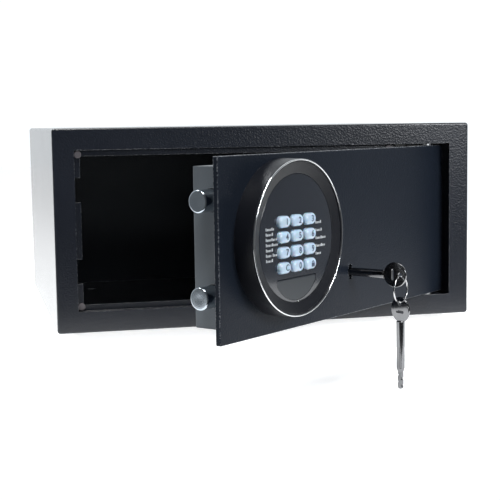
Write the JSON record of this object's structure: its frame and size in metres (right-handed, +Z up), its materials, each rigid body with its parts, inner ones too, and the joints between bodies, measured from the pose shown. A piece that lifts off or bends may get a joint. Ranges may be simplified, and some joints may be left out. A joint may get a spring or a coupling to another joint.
{
  "type": "in room safe",
  "caption": "Hotel room safe: black steel case, hinged plate door with round keypad, motor bolts, service flap and override key on a ring with its spare.",
  "frame": {"origin": "centre of the underside of the case", "axes": "+X to the right seen from the front, +Y to the back, +Z up; the door opens towards -Y"},
  "size_m": [0.43, 0.6034, 0.2425],
  "materials": {
    "body_coat": "pebbled black powder coat",
    "door_coat": "fine pebbled black powder coat",
    "box_coat": "satin dark grey coat",
    "zinc": "zinc plated",
    "bolt_nickel": "polished nickel",
    "bumper_rubber": "matt",
    "dark_moulding": "satin black moulding",
    "cell_wrap": "printed film",
    "brass": "machined",
    "bezel_chrome": "polished",
    "face_gloss": "high gloss",
    "board": "solder mask",
    "flap_moulding": "satin",
    "key_cap": "icy translucent moulding",
    "key_nickel": "nickel plated",
    "ring_steel": "polished spring steel"
  },
  "bodies": {
    "safe_body": {"body_shell": "body_coat", "back_panel": "body_coat", "stop_frame": "body_coat", "corner_bumpers": "bumper_rubber", "strike_angle": "body_coat", "pivot_tabs": "body_coat", "hinge_washers": "zinc"},
    "door": {"door_plate": "door_coat", "hinge_ears": "zinc", "hinge_pins": "zinc", "lock_box": "box_coat", "cover_pillars": "zinc", "cover_screws": "zinc", "bolt_guides": "dark_moulding", "guide_studs": "zinc", "gear_motor": "zinc", "motor_saddle": "dark_moulding", "lock_cylinder": "brass", "battery_case": "dark_moulding", "batteries": "cell_wrap", "battery_hatch": "box_coat", "keypad_housing": "dark_moulding", "chrome_ring": "bezel_chrome", "keypad_panel": "face_gloss", "key_mat": "bumper_rubber", "circuit_board": "board", "board_pillars": "dark_moulding", "display_module": "face_gloss", "service_socket": "dark_moulding", "keypad_screws": "zinc", "flap_screw": "zinc"},
    "bolt_slide": {"bolt_carriage": "zinc", "lower_bolt": "bolt_nickel", "upper_bolt": "bolt_nickel", "bolt_nuts": "zinc"},
    "motor_gear": {"motor_pinion": "brass"},
    "lock_plug": {"key_plug": "brass", "key_pinion": "brass", "plug_nut": "zinc"},
    "inserted_key": {"override_key": "key_nickel"},
    "ring": {"key_ring": "ring_steel"},
    "hanging_key": {"spare_key": "key_nickel"},
    "flap": {"service_flap": "flap_moulding", "flap_pin": "zinc"},
    "key_1_cap": {"key_1": "key_cap"},
    "key_2_cap": {"key_2": "key_cap"},
    "key_3_cap": {"key_3": "key_cap"},
    "key_4_cap": {"key_4": "key_cap"},
    "key_5_cap": {"key_5": "key_cap"},
    "key_6_cap": {"key_6": "key_cap"},
    "key_7_cap": {"key_7": "key_cap"},
    "key_8_cap": {"key_8": "key_cap"},
    "key_9_cap": {"key_9": "key_cap"},
    "key_clear_cap": {"key_clear": "key_cap"},
    "key_0_cap": {"key_0": "key_cap"},
    "key_lock_cap": {"key_lock": "key_cap"}
  },
  "joints": [
    {"name": "door_swing", "type": "hinge", "parent": "safe_body", "child": "door", "pos_m": [0.171, -0.177, 0.1], "axis": [0, 0, 1], "range_deg": [-40, 55]},
    {"name": "bolt_throw", "type": "slide", "parent": "door", "child": "bolt_slide", "axis": [-0.766, -0.6428, 0], "range_m": [0, 0.01571]},
    {"name": "motor_turn", "type": "hinge", "parent": "door", "child": "motor_gear", "pos_m": [-0.0092, -0.29361, 0.135], "axis": [-0.6428, 0.766, 0], "range_deg": [-1, 130]},
    {"name": "key_turn", "type": "hinge", "parent": "door", "child": "lock_plug", "pos_m": [0.04485, -0.28024, 0.0628], "axis": [0.6428, -0.766, 0], "range_deg": [-1, 91]},
    {"name": "key_withdraw", "type": "slide", "parent": "lock_plug", "child": "inserted_key", "axis": [0.6428, -0.766, 0], "range_m": [0, 0.032]},
    {"name": "ring_swing", "type": "hinge", "parent": "inserted_key", "child": "ring", "pos_m": [0.08573, -0.32896, 0.06175], "axis": [-0.766, -0.6428, 0], "range_deg": [-12, 45]},
    {"name": "spare_swing", "type": "hinge", "parent": "ring", "child": "hanging_key", "pos_m": [0.08573, -0.32896, 0.03775], "axis": [-0.766, -0.6428, 0], "range_deg": [-12, 45]},
    {"name": "flap_swing", "type": "hinge", "parent": "door", "child": "flap", "pos_m": [-0.0259, -0.37172, 0.0701], "axis": [-0.766, -0.6428, 0], "range_deg": [0, 95]},
    {"name": "key_1_press", "type": "slide", "parent": "door", "child": "key_1_cap", "axis": [-0.6428, 0.766, 0], "range_m": [0, 0.001], "stiffness_N_per_m": 150, "springref_m": -0.001},
    {"name": "key_2_press", "type": "slide", "parent": "door", "child": "key_2_cap", "axis": [-0.6428, 0.766, 0], "range_m": [0, 0.001], "stiffness_N_per_m": 150, "springref_m": -0.001},
    {"name": "key_3_press", "type": "slide", "parent": "door", "child": "key_3_cap", "axis": [-0.6428, 0.766, 0], "range_m": [0, 0.001], "stiffness_N_per_m": 150, "springref_m": -0.001},
    {"name": "key_4_press", "type": "slide", "parent": "door", "child": "key_4_cap", "axis": [-0.6428, 0.766, 0], "range_m": [0, 0.001], "stiffness_N_per_m": 150, "springref_m": -0.001},
    {"name": "key_5_press", "type": "slide", "parent": "door", "child": "key_5_cap", "axis": [-0.6428, 0.766, 0], "range_m": [0, 0.001], "stiffness_N_per_m": 150, "springref_m": -0.001},
    {"name": "key_6_press", "type": "slide", "parent": "door", "child": "key_6_cap", "axis": [-0.6428, 0.766, 0], "range_m": [0, 0.001], "stiffness_N_per_m": 150, "springref_m": -0.001},
    {"name": "key_7_press", "type": "slide", "parent": "door", "child": "key_7_cap", "axis": [-0.6428, 0.766, 0], "range_m": [0, 0.001], "stiffness_N_per_m": 150, "springref_m": -0.001},
    {"name": "key_8_press", "type": "slide", "parent": "door", "child": "key_8_cap", "axis": [-0.6428, 0.766, 0], "range_m": [0, 0.001], "stiffness_N_per_m": 150, "springref_m": -0.001},
    {"name": "key_9_press", "type": "slide", "parent": "door", "child": "key_9_cap", "axis": [-0.6428, 0.766, 0], "range_m": [0, 0.001], "stiffness_N_per_m": 150, "springref_m": -0.001},
    {"name": "key_clear_press", "type": "slide", "parent": "door", "child": "key_clear_cap", "axis": [-0.6428, 0.766, 0], "range_m": [0, 0.001], "stiffness_N_per_m": 150, "springref_m": -0.001},
    {"name": "key_0_press", "type": "slide", "parent": "door", "child": "key_0_cap", "axis": [-0.6428, 0.766, 0], "range_m": [0, 0.001], "stiffness_N_per_m": 150, "springref_m": -0.001},
    {"name": "key_lock_press", "type": "slide", "parent": "door", "child": "key_lock_cap", "axis": [-0.6428, 0.766, 0], "range_m": [0, 0.001], "stiffness_N_per_m": 150, "springref_m": -0.001}
  ],
  "couplings": [
    {"joint": "motor_turn", "follows": "bolt_throw", "rad_per_m": 142.86},
    {"joint": "key_turn", "follows": "bolt_throw", "rad_per_m": 100}
  ]
}
